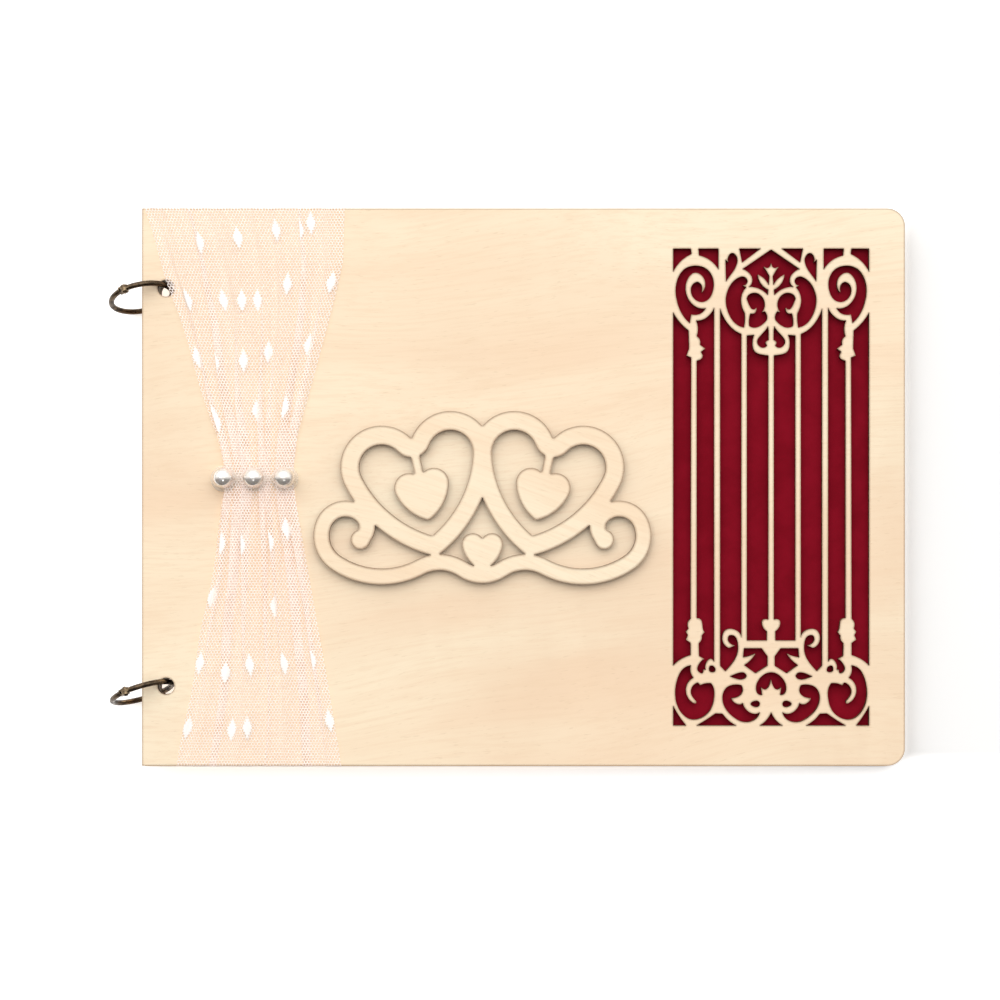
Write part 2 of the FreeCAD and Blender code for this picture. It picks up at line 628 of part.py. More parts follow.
def main():
    os.makedirs("parts", exist_ok=True)
    shapes = {
        "back_cover": make_back_cover(),
        "front_cover": make_front_cover(),
        "window_card": make_window_card(),
        "heart_motif": make_heart_motif(),
        "tulle_drape": make_tulle(),
        "pearl_glue": make_glue(),
    }
    for name, x in zip(("pearl_left", "pearl_middle", "pearl_right"), PEARL_X):
        shapes[name] = make_pearl(x)
    shapes.update(ring_parts("upper_ring", UPPER_RING_POSE, 1))
    shapes.update(ring_parts("lower_ring", LOWER_RING_POSE, -1))
    for number in range(1, LEAVES + 1):
        shapes[f"leaf_{number:02d}"] = make_leaf(number)
    for name, shape in shapes.items():
        if not shape.isValid() or len(shape.Solids) != 1:
            print(name, "valid:", shape.isValid(), "solids:", len(shape.Solids))
        shape.exportStep(f"parts/{name}.step")
    print_ring_joint("upper_ring", UPPER_RING_POSE, 1)
    print_ring_joint("lower_ring", LOWER_RING_POSE, -1)
    print("cover axis", HOLE_X - HOLE_REACH, MIDDLE_Z)


main()
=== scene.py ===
"""The looks of a wedding guest book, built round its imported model. Lengths are in metres.

+X runs to the fore edge, +Y to the head of the page and +Z out of the front cover.
"""

import math

import bpy
import numpy as np
from mathutils import Matrix, Vector


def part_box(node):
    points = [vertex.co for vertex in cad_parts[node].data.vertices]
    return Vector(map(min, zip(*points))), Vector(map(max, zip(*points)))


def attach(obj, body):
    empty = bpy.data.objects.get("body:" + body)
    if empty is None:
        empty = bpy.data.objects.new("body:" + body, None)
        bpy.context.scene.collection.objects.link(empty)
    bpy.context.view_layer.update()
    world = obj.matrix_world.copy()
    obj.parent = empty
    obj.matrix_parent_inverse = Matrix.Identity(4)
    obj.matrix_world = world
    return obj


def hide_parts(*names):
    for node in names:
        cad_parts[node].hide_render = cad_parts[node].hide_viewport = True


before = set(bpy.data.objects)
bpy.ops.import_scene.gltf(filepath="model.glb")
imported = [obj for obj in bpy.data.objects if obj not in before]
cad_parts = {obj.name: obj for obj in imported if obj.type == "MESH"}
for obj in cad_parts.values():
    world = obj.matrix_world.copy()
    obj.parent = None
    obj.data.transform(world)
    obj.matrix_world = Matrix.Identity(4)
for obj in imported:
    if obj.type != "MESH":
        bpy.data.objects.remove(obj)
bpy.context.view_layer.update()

MM = 0.001
cover_low, cover_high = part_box("front_cover")
BACK_EDGE_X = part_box("back_cover")[1].x
COVER_TOP = cover_high.z
COVER_UNDER = cover_low.z
HEAD_Y = cover_high.y
FOOT_Y = cover_low.y
PEARLS = ("pearl_left", "pearl_middle", "pearl_right")
LEAVES = sorted(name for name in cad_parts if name.startswith("leaf_"))
RING_PIECES = sorted(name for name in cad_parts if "_ring_" in name)

# camera
CAMERA_HEIGHT = 840 * MM
VIEW_WIDTH = 340.8 * MM
VIEW_CENTRE = (-8.0 * MM, -4.4 * MM)
SENSOR = 36.0

# one ply of the boards
PLY = 0.9 * MM

# the tulle strip, as it lies
NET_PITCH = 1.03 * MM
TULLE_WIDTH = 78 * MM
TULLE_LIFT = 0.12 * MM
TULLE_RETURN = 11.5 * MM
WAIST_Y = 3.2 * MM
DOT_LENGTH = 7.8 * MM
DOT_WIDTH = 3.2 * MM
# the steps in a dot's edge, as a share of its half width
DOT_NOTCH = 0.34


# ---------------------------------------------------------------- node helpers


class Net:
    """Short calls for wiring one node tree."""

    def __init__(self, tree):
        self.tree = tree

    def node(self, kind, **settings):
        made = self.tree.nodes.new(kind)
        for name, value in settings.items():
            setattr(made, name, value)
        return made

    def feed(self, socket, value):
        if isinstance(value, bpy.types.NodeSocket):
            self.tree.links.new(value, socket)
        else:
            socket.default_value = value

    def math(self, operation, first, second=0.0, third=0.0):
        made = self.node("ShaderNodeMath", operation=operation)
        for index, value in enumerate((first, second, third)):
            self.feed(made.inputs[index], value)
        return made.outputs[0]

    def vector(self, operation, first, second=(0, 0, 0), out=0):
        made = self.node("ShaderNodeVectorMath", operation=operation)
        self.feed(made.inputs[0], first)
        if operation == "SCALE":
            self.feed(made.inputs["Scale"], second)
        else:
            self.feed(made.inputs[1], second)
        return made.outputs[out]

    def ramp(self, value, low, high, to_low=0.0, to_high=1.0):
        made = self.node("ShaderNodeMapRange", interpolation_type="SMOOTHSTEP")
        for name, amount in zip(("Value", "From Min", "From Max", "To Min", "To Max"),
                                (value, low, high, to_low, to_high)):
            self.feed(made.inputs[name], amount)
        return made.outputs["Result"]

    def mix(self, share, first, second, blend="MIX"):
        made = self.node("ShaderNodeMix", data_type="RGBA", blend_type=blend)
        self.feed(made.inputs["Factor"], share)
        self.feed(made.inputs[6], first)
        self.feed(made.inputs[7], second)
        return made.outputs[2]

    def noise(self, place, scale, detail=2.0, roughness=0.5, distortion=0.0, out="Fac"):
        made = self.node("ShaderNodeTexNoise")
        self.feed(made.inputs["Vector"], place)
        for name, value in zip(("Scale", "Detail", "Roughness", "Distortion"),
                               (scale, detail, roughness, distortion)):
            self.feed(made.inputs[name], value)
        return made.outputs[out]

    def stretched(self, place, scale, move=(0, 0, 0), turn=0.0):
        made = self.node("ShaderNodeMapping")
        self.feed(made.inputs["Vector"], place)
        self.feed(made.inputs["Location"], move)
        self.feed(made.inputs["Rotation"], (0, 0, turn))
        self.feed(made.inputs["Scale"], scale)
        return made.outputs[0]

    def parts_of(self, vector):
        made = self.node("ShaderNodeSeparateXYZ")
        self.feed(made.inputs[0], vector)
        return made.outputs

    def bump(self, height, distance, strength):
        made = self.node("ShaderNodeBump")
        made.inputs["Distance"].default_value = distance
        made.inputs["Strength"].default_value = strength
        self.feed(made.inputs["Height"], height)
        return made.outputs[0]

    def group(self, tree, **values):
        made = self.node("ShaderNodeGroup", node_tree=tree)
        for name, value in values.items():
            self.feed(made.inputs[name], value)
        return made.outputs


def new_group(name, inputs, outputs):
    """An empty node group with named sockets: its net, its inputs and its output node."""
    tree = bpy.data.node_groups.new(name, "ShaderNodeTree")
    for label, kind, value in inputs:
        socket = tree.interface.new_socket(label, in_out="INPUT", socket_type=f"NodeSocket{kind}")
        if value is not None:
            socket.default_value = value
    for label, kind in outputs:
        tree.interface.new_socket(label, in_out="OUTPUT", socket_type=f"NodeSocket{kind}")
    net = Net(tree)
    return net, net.node("NodeGroupInput").outputs, net.node("NodeGroupOutput").inputs


def new_material(name, **values):
    """A material with one Principled shader, whose plain values are set on its own sockets."""
    material = bpy.data.materials.new(name)
    material.use_nodes = True
    shader = material.node_tree.nodes["Principled BSDF"]
    for label, value in values.items():
        shader.inputs[label.replace("_", " ")].default_value = value
    return material, Net(material.node_tree), shader.inputs


# ---------------------------------------------------------------- node groups


def make_grain_group():
    """Pale veneer: a slow figure, fine fibres along X, short pores, and a faint cross ripple."""
    net, given, out = new_group(
        "veneer_grain",
        [("Place", "Vector", None), ("Shift", "Vector", (0, 0, 0)), ("Slope", "Float", 0.0)],
        [("Figure", "Float"), ("Fibre", "Float"), ("Pore", "Float"), ("Ripple", "Float")],
    )
    turned = net.node("ShaderNodeVectorRotate", rotation_type="Z_AXIS")
    net.feed(turned.inputs["Vector"], given["Place"])
    net.feed(turned.inputs["Angle"], given["Slope"])
    place = net.vector("ADD", turned.outputs[0], given["Shift"])
    bend = net.noise(net.stretched(place, (5, 9, 9)), 1.0, 1.0, out="Color")
    swing = net.vector("SCALE", net.vector("SUBTRACT", bend, (0.5, 0.5, 0.5)), 0.05)
    bent = net.vector("ADD", place, swing)
    figure = net.noise(net.stretched(bent, (3.2, 26, 26)), 1.0, 3.0, 0.5, 0.5)
    broad = net.noise(net.stretched(place, (6, 14, 14)), 1.0, 2.0, 0.5, 0.8)
    fibre = net.noise(net.stretched(bent, (38, 950, 950)), 1.0, 3.0, 0.62)
    pore = net.noise(net.stretched(bent, (260, 2600, 2600)), 1.0, 1.0, 0.4)
    ripple = net.noise(net.stretched(bent, (62, 13, 13)), 1.0, 1.0, 0.4, 1.2)
    patch = net.noise(net.stretched(place, (9, 12, 12), (0.31, 0.12, 0)), 1.0, 1.0)
    net.feed(out["Figure"], net.math("MULTIPLY_ADD", figure, 0.6, net.math("MULTIPLY", broad, 0.4)))
    net.feed(out["Fibre"], fibre)
    net.feed(out["Pore"], net.ramp(pore, 0.66, 0.76))
    net.feed(out["Ripple"], net.math("MULTIPLY", ripple, net.ramp(patch, 0.5, 0.68)))
    return net.tree


def make_edge_group():
    """A board's edge: Cut is 1 on its upright sides, and Toast fades in over the face beside a cut."""
    net, given, out = new_group(
        "board_edge", [("Reach", "Float", 0.5 * MM)], [("Cut", "Float"), ("Toast", "Float")]
    )
    place = net.node("ShaderNodeTexCoord")
    up = net.parts_of(place.outputs["Normal"])["Z"]
    cut = net.ramp(net.math("ABSOLUTE", up), 0.75, 0.45)
    near = net.node("ShaderNodeAmbientOcclusion", inside=True, only_local=True, samples=6)
    net.feed(near.inputs["Distance"], given["Reach"])
    toast = net.ramp(near.outputs["AO"], 0.97, 0.45)
    net.feed(out["Cut"], cut)
    net.feed(out["Toast"], toast)
    return net.tree


def make_fibre_group():
    """Paper and card: a mottled surface of short crossed fibres."""
    net, given, out = new_group(
        "paper_fibre", [("Place", "Vector", None)], [("Cloud", "Float"), ("Fibre", "Float")]
    )
    place = given["Place"]
    cloud = net.noise(place, 90.0, 3.0, 0.6)
    along = net.noise(net.stretched(place, (900, 4200, 900), turn=0.5), 1.0, 2.0)
    across = net.noise(net.stretched(place, (4200, 900, 900), turn=-0.35), 1.0, 2.0)
    net.feed(out["Cloud"], cloud)
    net.feed(out["Fibre"], net.math("MULTIPLY", net.math("ADD", along, across), 0.5))
    return net.tree


def make_wear_group():
    """Aged metal: blotches of tarnish and worn high spots."""
    net, given, out = new_group(
        "metal_wear", [("Place", "Vector", None)], [("Tarnish", "Float"), ("Rub", "Float"), ("Grit", "Float")]
    )
    blotch = net.noise(given["Place"], 420.0, 4.0, 0.6)
    worn = net.node("ShaderNodeNewGeometry").outputs["Pointiness"]
    scuff = net.noise(net.stretched(given["Place"], (900, 900, 260)), 1.0, 3.0, 0.6)
    net.feed(out["Tarnish"], net.ramp(blotch, 0.42, 0.64))
    rub = net.math("MULTIPLY", net.ramp(worn, 0.5, 0.56), net.ramp(scuff, 0.38, 0.6))
    net.feed(out["Rub"], rub)
    net.feed(out["Grit"], net.noise(given["Place"], 3200.0, 2.0, 0.6))
    return net.tree


def make_mesh_group():
    """Hexagonal net: Thread is 1 on the threads. Place is on the flat cloth, in units of the net's pitch."""
    net, given, out = new_group(
        "hexagon_net",
        [("Place", "Vector", None), ("Thread", "Float", 0.24)],
        [("Thread", "Float"), ("Knot", "Float")],
    )
    step = (1.0, math.sqrt(3.0), 1.0)
    half = tuple(size / 2 for size in step)
    cells = []
    for move in ((0, 0, 0), half):
        placed = net.vector("ADD", given["Place"], move)
        wrapped = net.node("ShaderNodeVectorMath", operation="WRAP")
        net.feed(wrapped.inputs[0], placed)
        wrapped.inputs[1].default_value = half
        wrapped.inputs[2].default_value = tuple(-size for size in half)
        flat = net.vector("MULTIPLY", wrapped.outputs[0], (1, 1, 0))
        reach = net.vector("LENGTH", flat, out="Value")
        cells.append((flat, reach))
    first_nearer = net.math("LESS_THAN", cells[0][1], cells[1][1])
    chosen = net.node("ShaderNodeMix", data_type="VECTOR")
    net.feed(chosen.inputs["Factor"], first_nearer)
    net.feed(chosen.inputs[4], cells[1][0])
    net.feed(chosen.inputs[5], cells[0][0])
    away = net.parts_of(net.vector("ABSOLUTE", chosen.outputs[1]))
    slanted = net.math("ADD", net.math("MULTIPLY", away["X"], 0.5), net.math("MULTIPLY", away["Y"], half[1]))
    border = net.math("MAXIMUM", away["X"], slanted)
    inner = net.math("SUBTRACT", 0.5, net.math("MULTIPLY", given["Thread"], 0.5))
    soft = 0.05
    thread = net.ramp(border, net.math("SUBTRACT", inner, soft), net.math("ADD", inner, soft))
    corner = net.vector("LENGTH", chosen.outputs[1], out="Value")
    net.feed(out["Thread"], thread)
    net.feed(out["Knot"], net.ramp(corner, 0.47, 0.56))
    return net.tree


GRAIN = make_grain_group()
EDGE = make_edge_group()
FIBRE = make_fibre_group()
WEAR = make_wear_group()
HEXAGONS = make_mesh_group()


# ---------------------------------------------------------------- materials


def object_place(net):
    return net.node("ShaderNodeTexCoord").outputs["Object"]


def plywood(name, shift, slope=0.0, warm=0.0, toast_reach=0.8 * MM, toast_share=0.75):
    """Sanded pale plywood with laser-burnt edges of three plies."""
    material, net, shader = new_material(name, Roughness=0.62)
    shader["Specular IOR Level"].default_value = 0.3
    place = object_place(net)
    grain = net.group(GRAIN, Place=place, Shift=shift, Slope=slope)
    edge = net.group(EDGE, Reach=toast_reach)
    pale = (0.945, 0.81, 0.605, 1)
    honey = (0.895, 0.68 - 0.03 * warm, 0.482 - 0.04 * warm, 1)
    face = net.mix(net.ramp(grain["Figure"], 0.36, 0.66), pale, honey)
    face = net.mix(net.ramp(grain["Fibre"], 0.40, 0.72, 0.0, 0.34), face, (0.84, 0.62, 0.42, 1))
    face = net.mix(net.math("MULTIPLY", grain["Ripple"], 0.45), face, (0.80, 0.60, 0.42, 1))
    face = net.mix(net.math("MULTIPLY", grain["Pore"], 0.22), face, (0.62, 0.43, 0.25, 1))
    face = net.mix(net.math("MULTIPLY", edge["Toast"], toast_share), face, (0.22, 0.11, 0.05, 1))
    soot = net.noise(net.stretched(place, (700, 700, 90)), 1.0, 3.0, 0.6)
    height = net.parts_of(place)["Z"]
    glue_line = net.math("SINE", net.math("MULTIPLY", height, 2 * math.pi / PLY))
    char = net.mix(net.ramp(soot, 0.35, 0.7), (0.065, 0.030, 0.014, 1), (0.19, 0.095, 0.045, 1))
    char = net.mix(net.ramp(glue_line, 0.2, 1.0, 0.0, 0.5), char, (0.04, 0.02, 0.012, 1))
    net.feed(shader["Base Color"], net.mix(edge["Cut"], face, char))
    net.feed(shader["Roughness"], net.ramp(grain["Fibre"], 0.3, 0.7, 0.55, 0.72))
    relief = net.math("MULTIPLY_ADD", grain["Pore"], -0.7, grain["Fibre"])
    net.feed(shader["Normal"], net.bump(relief, 0.03 * MM, 0.5))
    return material


def card(name, deep, light, fibre_share, roughness):
    """Paper or card: fibres over a soft mottle."""
    material, net, shader = new_material(name)
    shader["Specular IOR Level"].default_value = 0.06
    fibre = net.group(FIBRE, Place=object_place(net))
    tone = net.mix(net.ramp(fibre["Cloud"], 0.3, 0.7), deep, light)
    lit = tuple(min(1.0, part * 1.12) for part in light[:3]) + (1,)
    net.feed(shader["Base Color"], net.mix(net.ramp(fibre["Fibre"], 0.4, 0.66, 0, fibre_share), tone, lit))
    net.feed(shader["Roughness"], net.ramp(fibre["Fibre"], 0.3, 0.7, roughness - 0.08, roughness + 0.08))
    net.feed(shader["Normal"], net.bump(fibre["Fibre"], 0.02 * MM, 0.6))
    return material


def bronze():
    """Antique bronze wire: dark, mottled, rubbed brighter on its high spots."""
    material, net, shader = new_material("antique_bronze", Metallic=1.0)
    wear = net.group(WEAR, Place=object_place(net))
    tone = net.mix(wear["Tarnish"], (0.088, 0.060, 0.038, 1), (0.038, 0.028, 0.021, 1))
    net.feed(shader["Base Color"], net.mix(wear["Rub"], tone, (0.24, 0.175, 0.105, 1)))
    net.feed(shader["Roughness"], net.ramp(wear["Tarnish"], 0.0, 1.0, 0.26, 0.44))
    net.feed(shader["Normal"], net.bump(wear["Grit"], 0.02 * MM, 0.35))
    return material


def pearl():
    """Imitation pearl: a glossy clear coat over a soft ivory body. Towards its outline as seen, the colour
    turns darker and browner: painted shade.
    """
    material, net, shader = new_material(
        "pearl_lustre", Coat_Weight=1.0, Coat_Roughness=0.03, Coat_IOR=1.6, Sheen_Weight=0.15
    )
    shader["Subsurface Weight"].default_value = 0.1
    shader["Subsurface Radius"].default_value = (0.9 * MM, 0.7 * MM, 0.5 * MM)
    shader["Subsurface Scale"].default_value = 1.0
    place = object_place(net)
    cloud = net.noise(place, 260.0, 2.0, 0.5)
    facing = net.node("ShaderNodeLayerWeight")
    facing.inputs["Blend"].default_value = 0.35
    body = net.mix(net.ramp(cloud, 0.35, 0.65), (0.90, 0.85, 0.80, 1), (0.94, 0.90, 0.86, 1))
    # painted shade: this rim colour darkens the bead towards its outline, by the angle it is seen at
    painted_rim_shade = net.mix(net.ramp(cloud, 0.4, 0.6), (0.70, 0.60, 0.50, 1), (0.78, 0.68, 0.62, 1))
    net.feed(shader["Base Color"], net.mix(facing.outputs["Facing"], body, painted_rim_shade))
    net.feed(shader["Metallic"], net.ramp(cloud, 0.3, 0.7, 0.62, 0.72))
    net.feed(shader["Roughness"], net.ramp(cloud, 0.3, 0.7, 0.13, 0.19))
    return material


def clear_glue():
    """Clear craft glue that has crept out from under the pearls, with a few tiny bubbles."""
    material, net, shader = new_material("clear_glue", IOR=1.46, Coat_Weight=0.6, Coat_Roughness=0.05)
    place = object_place(net)
    cells = net.node("ShaderNodeTexVoronoi", feature="F1")
    net.feed(cells.inputs["Vector"], place)
    cells.inputs["Scale"].default_value = 900.0
    bubble = net.ramp(cells.outputs["Distance"], 0.22, 0.12)
    haze = net.noise(place, 300.0, 2.0)
    net.feed(shader["Base Color"], net.mix(haze, (0.97, 0.88, 0.74, 1), (1.0, 0.94, 0.84, 1)))
    net.feed(shader["Alpha"], net.math("MULTIPLY_ADD", bubble, 0.25, net.ramp(haze, 0.3, 0.7, 0.22, 0.34)))
    net.feed(shader["Roughness"], net.ramp(haze, 0.3, 0.7, 0.10, 0.2))
    net.feed(shader["Normal"], net.bump(net.math("ADD", haze, bubble), 0.08 * MM, 0.4))
    return material


def tulle_net():
    """Soft nylon net, nearly clear between its threads. Its cloth coordinates are in metres. Between the
    threads lies a faint dark peach film, painted shade of the threads on the wood beneath, and the emission
    is a painted glow that lightens the folded layers.
    """
    # the emission is painted light: a faint glow on the net
    material, net, shader = new_material(
        "tulle_net", Roughness=0.7, Sheen_Weight=0.25,
        Emission_Color=(1.0, 0.88, 0.82, 1), Emission_Strength=0.14,
    )
    cloth = net.node("ShaderNodeUVMap", uv_map="cloth").outputs[0]
    wander = net.noise(net.vector("SCALE", cloth, 160.0), 1.0, 1.0, out="Color")
    loose = net.vector("SCALE", net.vector("SUBTRACT", wander, (0.5, 0.5, 0.5)), 0.35)
    place = net.vector("ADD", net.vector("SCALE", cloth, 1 / NET_PITCH), loose)
    mesh = net.group(HEXAGONS, Place=place, Thread=0.29)
    tone = net.noise(net.vector("SCALE", cloth, 900.0), 1.0, 2.0)
    white = net.mix(tone, (0.95, 0.865, 0.81, 1), (0.985, 0.93, 0.895, 1))
    woven = net.mix(mesh["Knot"], white, (1.0, 0.97, 0.95, 1))
    # painted shade: the faint dark peach film between the threads stands for their shadow on the wood
    net.feed(shader["Base Color"], net.mix(mesh["Thread"], (0.82, 0.46, 0.28, 1), woven))
    body = net.math("MULTIPLY", mesh["Thread"], net.ramp(tone, 0.3, 0.7, 0.69, 0.90))
    net.feed(shader["Alpha"], net.math("MAXIMUM", body, 0.15))
    net.feed(shader["Normal"], net.bump(mesh["Thread"], 0.05 * MM, 0.4))
    return material


def dot_thread():
    """The woven dots: flat floss laid along the strip, with a faint painted glow from its emission."""
    # the emission is painted light: a faint glow that brightens the dots
    material, net, shader = new_material(
        "dot_thread", Roughness=0.6, Sheen_Weight=0.3,
        Emission_Color=(1.0, 0.97, 0.94, 1), Emission_Strength=0.06,
    )
    cloth = net.node("ShaderNodeUVMap", uv_map="cloth").outputs[0]
    strand = net.node("ShaderNodeTexWave", wave_type="BANDS", bands_direction="X")
    net.feed(strand.inputs["Vector"], net.vector("SCALE", cloth, 1 / (0.55 * MM)))
    strand.inputs["Scale"].default_value = 0.5
    strand.inputs["Distortion"].default_value = 0.8
    fuzz = net.noise(net.vector("SCALE", cloth, 2600.0), 1.0, 2.0)
    tone = net.mix(strand.outputs["Fac"], (0.95, 0.91, 0.87, 1), (1.0, 0.99, 0.97, 1))
    net.feed(shader["Base Color"], net.mix(net.math("MULTIPLY", fuzz, 0.2), tone, (0.92, 0.84, 0.78, 1)))
    net.feed(shader["Normal"], net.bump(net.math("ADD", strand.outputs["Fac"], fuzz), 0.05 * MM, 0.5))
    return material


def floor_paper():
    """A pale table top with a faint painted glow that lightens the shadows on it, left out over one patch as
    large as the book.
    """
    material, net, shader = new_material("floor_paper", Roughness=0.9, Emission_Strength=0.5)
    place = object_place(net)
    away = net.parts_of(net.vector("ABSOLUTE", net.vector("SUBTRACT", place, (-BACK_EDGE_X, 0, 0))))
    clear_x = net.ramp(away["X"], BACK_EDGE_X - 4 * MM, BACK_EDGE_X + 1 * MM)
    clear_y = net.ramp(away["Y"], HEAD_Y - 4 * MM, HEAD_Y + 1 * MM)
    # painted light: the floor glows, which lightens the book's shadow on it
    painted_glow = net.math("MAXIMUM", clear_x, clear_y)
    net.feed(shader["Emission Color"], net.mix(painted_glow, (0, 0, 0, 1), (1, 1, 1, 1)))
    cloud = net.noise(place, 5.0, 2.0)
    net.feed(shader["Base Color"], net.mix(cloud, (0.96, 0.96, 0.96, 1), (0.975, 0.975, 0.975, 1)))
    return material


def finish_node(name, material):
    """Gives a CAD node its material."""
    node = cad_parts[name]
    node.data.materials.clear()
    node.data.materials.append(material)


# ---------------------------------------------------------------- the tulle strip


# the strip's outline in millimetres: Y, left edge, right edge
OUTLINE = [
    (-95.0, -118.0, -62.0),
    (-70.0, -113.6, -66.0),
    (-40.0, -108.0, -71.3),
    (-12.0, -103.2, -76.2),
    (3.2, -101.4, -78.8),
    (18.0, -104.6, -76.8),
    (42.0, -112.6, -70.2),
    (60.0, -117.8, -65.4),
    (67.0, -120.3, -63.6),
    (77.0, -123.6, -61.4),
    (95.0, -129.3, -60.9),
]
PLEATS = 7
# how much more or less than its share each pleat takes up, away from the waist
PLEAT_SHARES = (0.25, -0.45, 0.40, -0.15, 0.50, -0.55, 0.10)
# how soft a fold's turn is
CREASE = 0.30
EDGE_WRAP = 0.30 * MM


def pleat_phase(across, reach):
    """Counts the pleats across the flat cloth. They are uneven, and wander a little on the way out."""
    uneven = 0.20 * np.sin(2 * math.pi * across * 1.5 + 0.6) + 0.12 * np.sin(2 * math.pi * across * 3.5)
    ends = np.sin(math.pi * across)
    wander = 0.16 * np.sin(5.2 * reach + 4.0 * across) * reach
    return 2 * math.pi * (PLEATS * across + (uneven + wander) * ends)


def pleat_slopes(phase, across, reach, wanted):
    """How the folded cloth runs across the strip: 1 is flat to the right, -1 is folded back to the left.
    Each row is folded just as much as brings the flat width into the strip's width there."""
    place = np.clip(across * PLEATS, 0, PLEATS - 1e-6)
    shares = np.interp(place, np.arange(PLEATS) + 0.5, PLEAT_SHARES)
    low = np.full(phase.shape[0], -1.5)
    high = np.full(phase.shape[0], 4.0)
    for _ in range(32):
        level = (low + high) / 2
        slope = np.tanh((np.cos(phase) + level[:, None] + shares * reach * 0.9) / CREASE)
        too_flat = slope.mean(axis=1) > wanted
        high = np.where(too_flat, level, high)
        low = np.where(too_flat, low, level)
    return slope


def lie_of_cloth(rows=360, columns=440):
    """The strip as it lies: places across the flat cloth, places along it, and the points between."""
    drop = COVER_TOP - COVER_UNDER + 2 * TULLE_LIFT
    past = drop + TULLE_RETURN
    along_axis = np.linspace(FOOT_Y - past, HEAD_Y + past, rows)
    across_axis = np.linspace(0, 1, columns)
    across, along = np.meshgrid(across_axis, along_axis)
    level = np.clip(along, FOOT_Y, HEAD_Y)
    table = np.array(OUTLINE) * MM
    left = np.interp(level[:, 0], table[:, 0], table[:, 1])
    right = np.interp(level[:, 0], table[:, 0], table[:, 2])
    wobble = 0.35 * MM * np.sin(level[:, 0] / (6.3 * MM))
    left = left + wobble
    reach = np.abs(level - WAIST_Y) / (HEAD_Y - WAIST_Y)
    phase = pleat_phase(across, reach)
    slope = pleat_slopes(phase, across, reach, (right - left) / TULLE_WIDTH)
    run = np.cumsum(slope, axis=1) - slope[:, :1]
    x = left[:, None] + (right - left)[:, None] * run / run[:, -1:]
    pressed = np.exp(-(((level - WAIST_Y) / (7.0 * MM)) ** 2))
    at_edges = 1 - np.clip((reach - 0.80) / 0.2, 0, 1) ** 2
    puff = MM * (0.22 + 0.95 * np.exp(-2.0 * reach) * at_edges) * (1 - 0.70 * pressed)
    sway = 0.25 * np.sin(3 * phase + 14 * reach) * (1 - pressed)
    z = COVER_TOP + TULLE_LIFT + puff * np.clip(1.0 - np.sin(phase) + sway, 0, 3)
    y = level.copy()
    for edge, sign in ((HEAD_Y, 1), (FOOT_Y, -1)):
        over = np.clip((along - edge) * sign, 0, None)
        turned = np.clip(over / EDGE_WRAP, 0, 1)
        down = np.clip(over, 0, drop)
        back = np.clip(over - drop, 0, None)
        layer = (z - COVER_TOP) * 0.35
        y = y + sign * (turned * (EDGE_WRAP * 0.4 + layer * (back == 0)) - back)
        under = COVER_TOP + TULLE_LIFT - down - 0.3 * layer * (back > 0)
        z = np.where(over > 0, z * (1 - turned) + turned * under, z)
    return across_axis, along_axis, np.stack([x, y, z], axis=-1)


def cloth_at(lie, across, along):
    """Points of the strip between those of its grid."""
    across_axis, along_axis, points = lie
    column = np.clip(across / across_axis[-1] * (len(across_axis) - 1), 0, len(across_axis) - 1.001)
    row = (along - along_axis[0]) / (along_axis[1] - along_axis[0])
    row = np.clip(row, 0, len(along_axis) - 1.001)
    r, c = row.astype(int), column.astype(int)
    down, over = (row - r)[..., None], (column - c)[..., None]
    upper = points[r, c] * (1 - over) + points[r, c + 1] * over
    lower = points[r + 1, c] * (1 - over) + points[r + 1, c + 1] * over
    return upper * (1 - down) + lower * down


def grid_mesh(name, points, cloth, material):
    """A smooth mesh from a grid of points, with its place on the flat cloth as a UV map."""
    rows, columns = points.shape[:2]
    index = np.arange(rows * columns).reshape(rows, columns)
    faces = np.stack([index[:-1, :-1], index[:-1, 1:], index[1:, 1:], index[1:, :-1]], -1).reshape(-1, 4)
    mesh = bpy.data.meshes.new(name)
    mesh.from_pydata(points.reshape(-1, 3).tolist(), [], faces.tolist())
    layer = mesh.uv_layers.new(name="cloth")
    layer.data.foreach_set("uv", cloth.reshape(-1, 2)[faces.reshape(-1)].astype(np.float32).ravel())
    mesh.polygons.foreach_set("use_smooth", [True] * len(mesh.polygons))
    mesh.materials.append(material)
    made = bpy.data.objects.new(name, mesh)
    bpy.context.scene.collection.objects.link(made)
    return made


def make_tulle(lie, material):
    across_axis, along_axis, points = lie
    across, along = np.meshgrid(across_axis * TULLE_WIDTH, along_axis)
    return grid_mesh("tulle_strip", points, np.stack([across, along], -1), material)


# the middles of the woven dots that show, in millimetres: X, Y
DOTS = [
    (-110.2, 83.1), (-97.3, 84.8), (-84.3, 87.5), (-76.2, 87.5), (-72.4, 90.2),
    (-80.3, 69.5), (-65.3, 70.1), (-114.3, 63.7), (-102.1, 64.0), (-95.9, 64.0),
    (-90.5, 64.0), (-73.1, 48.7), (-86.7, 46.3), (-95.3, 43.2), (-104.8, 42.2),
    (-110.9, 43.9), (-81.3, 26.9), (-105.8, 24.2), (-104.8, 22.1), (-90.8, 25.9),
    (-103.8, -19.1), (-95.9, -20.1), (-86.4, -18.7), (-80.6, -14.6), (-108.2, -37.8),
    (-84.7, -40.5), (-114.3, -60.3), (-101.4, -63.0), (-93.2, -60.6), (-81.6, -59.9),
    (-72.1, -58.6), (-114.3, -81.7), (-99.3, -82.7), (-93.9, -81.7), (-63.9, -79.3),
]


def dot_on_cloth(lie, x, y):
    """Where a dot lies on the flat cloth. It is on the uppermost layer at its place."""
    across_axis, along_axis, points = lie
    row = int(np.argmin(np.abs(along_axis - y)))
    line = points[row, :, 0]
    beyond = line > np.clip(x, line.min() + DOT_WIDTH / 2, line.max() - DOT_WIDTH / 2)
    crossings = np.nonzero(beyond[1:] != beyond[:-1])[0]
    top = crossings[np.argmax(points[row, crossings, 2])]
    return across_axis[top] * TULLE_WIDTH, along_axis[row]


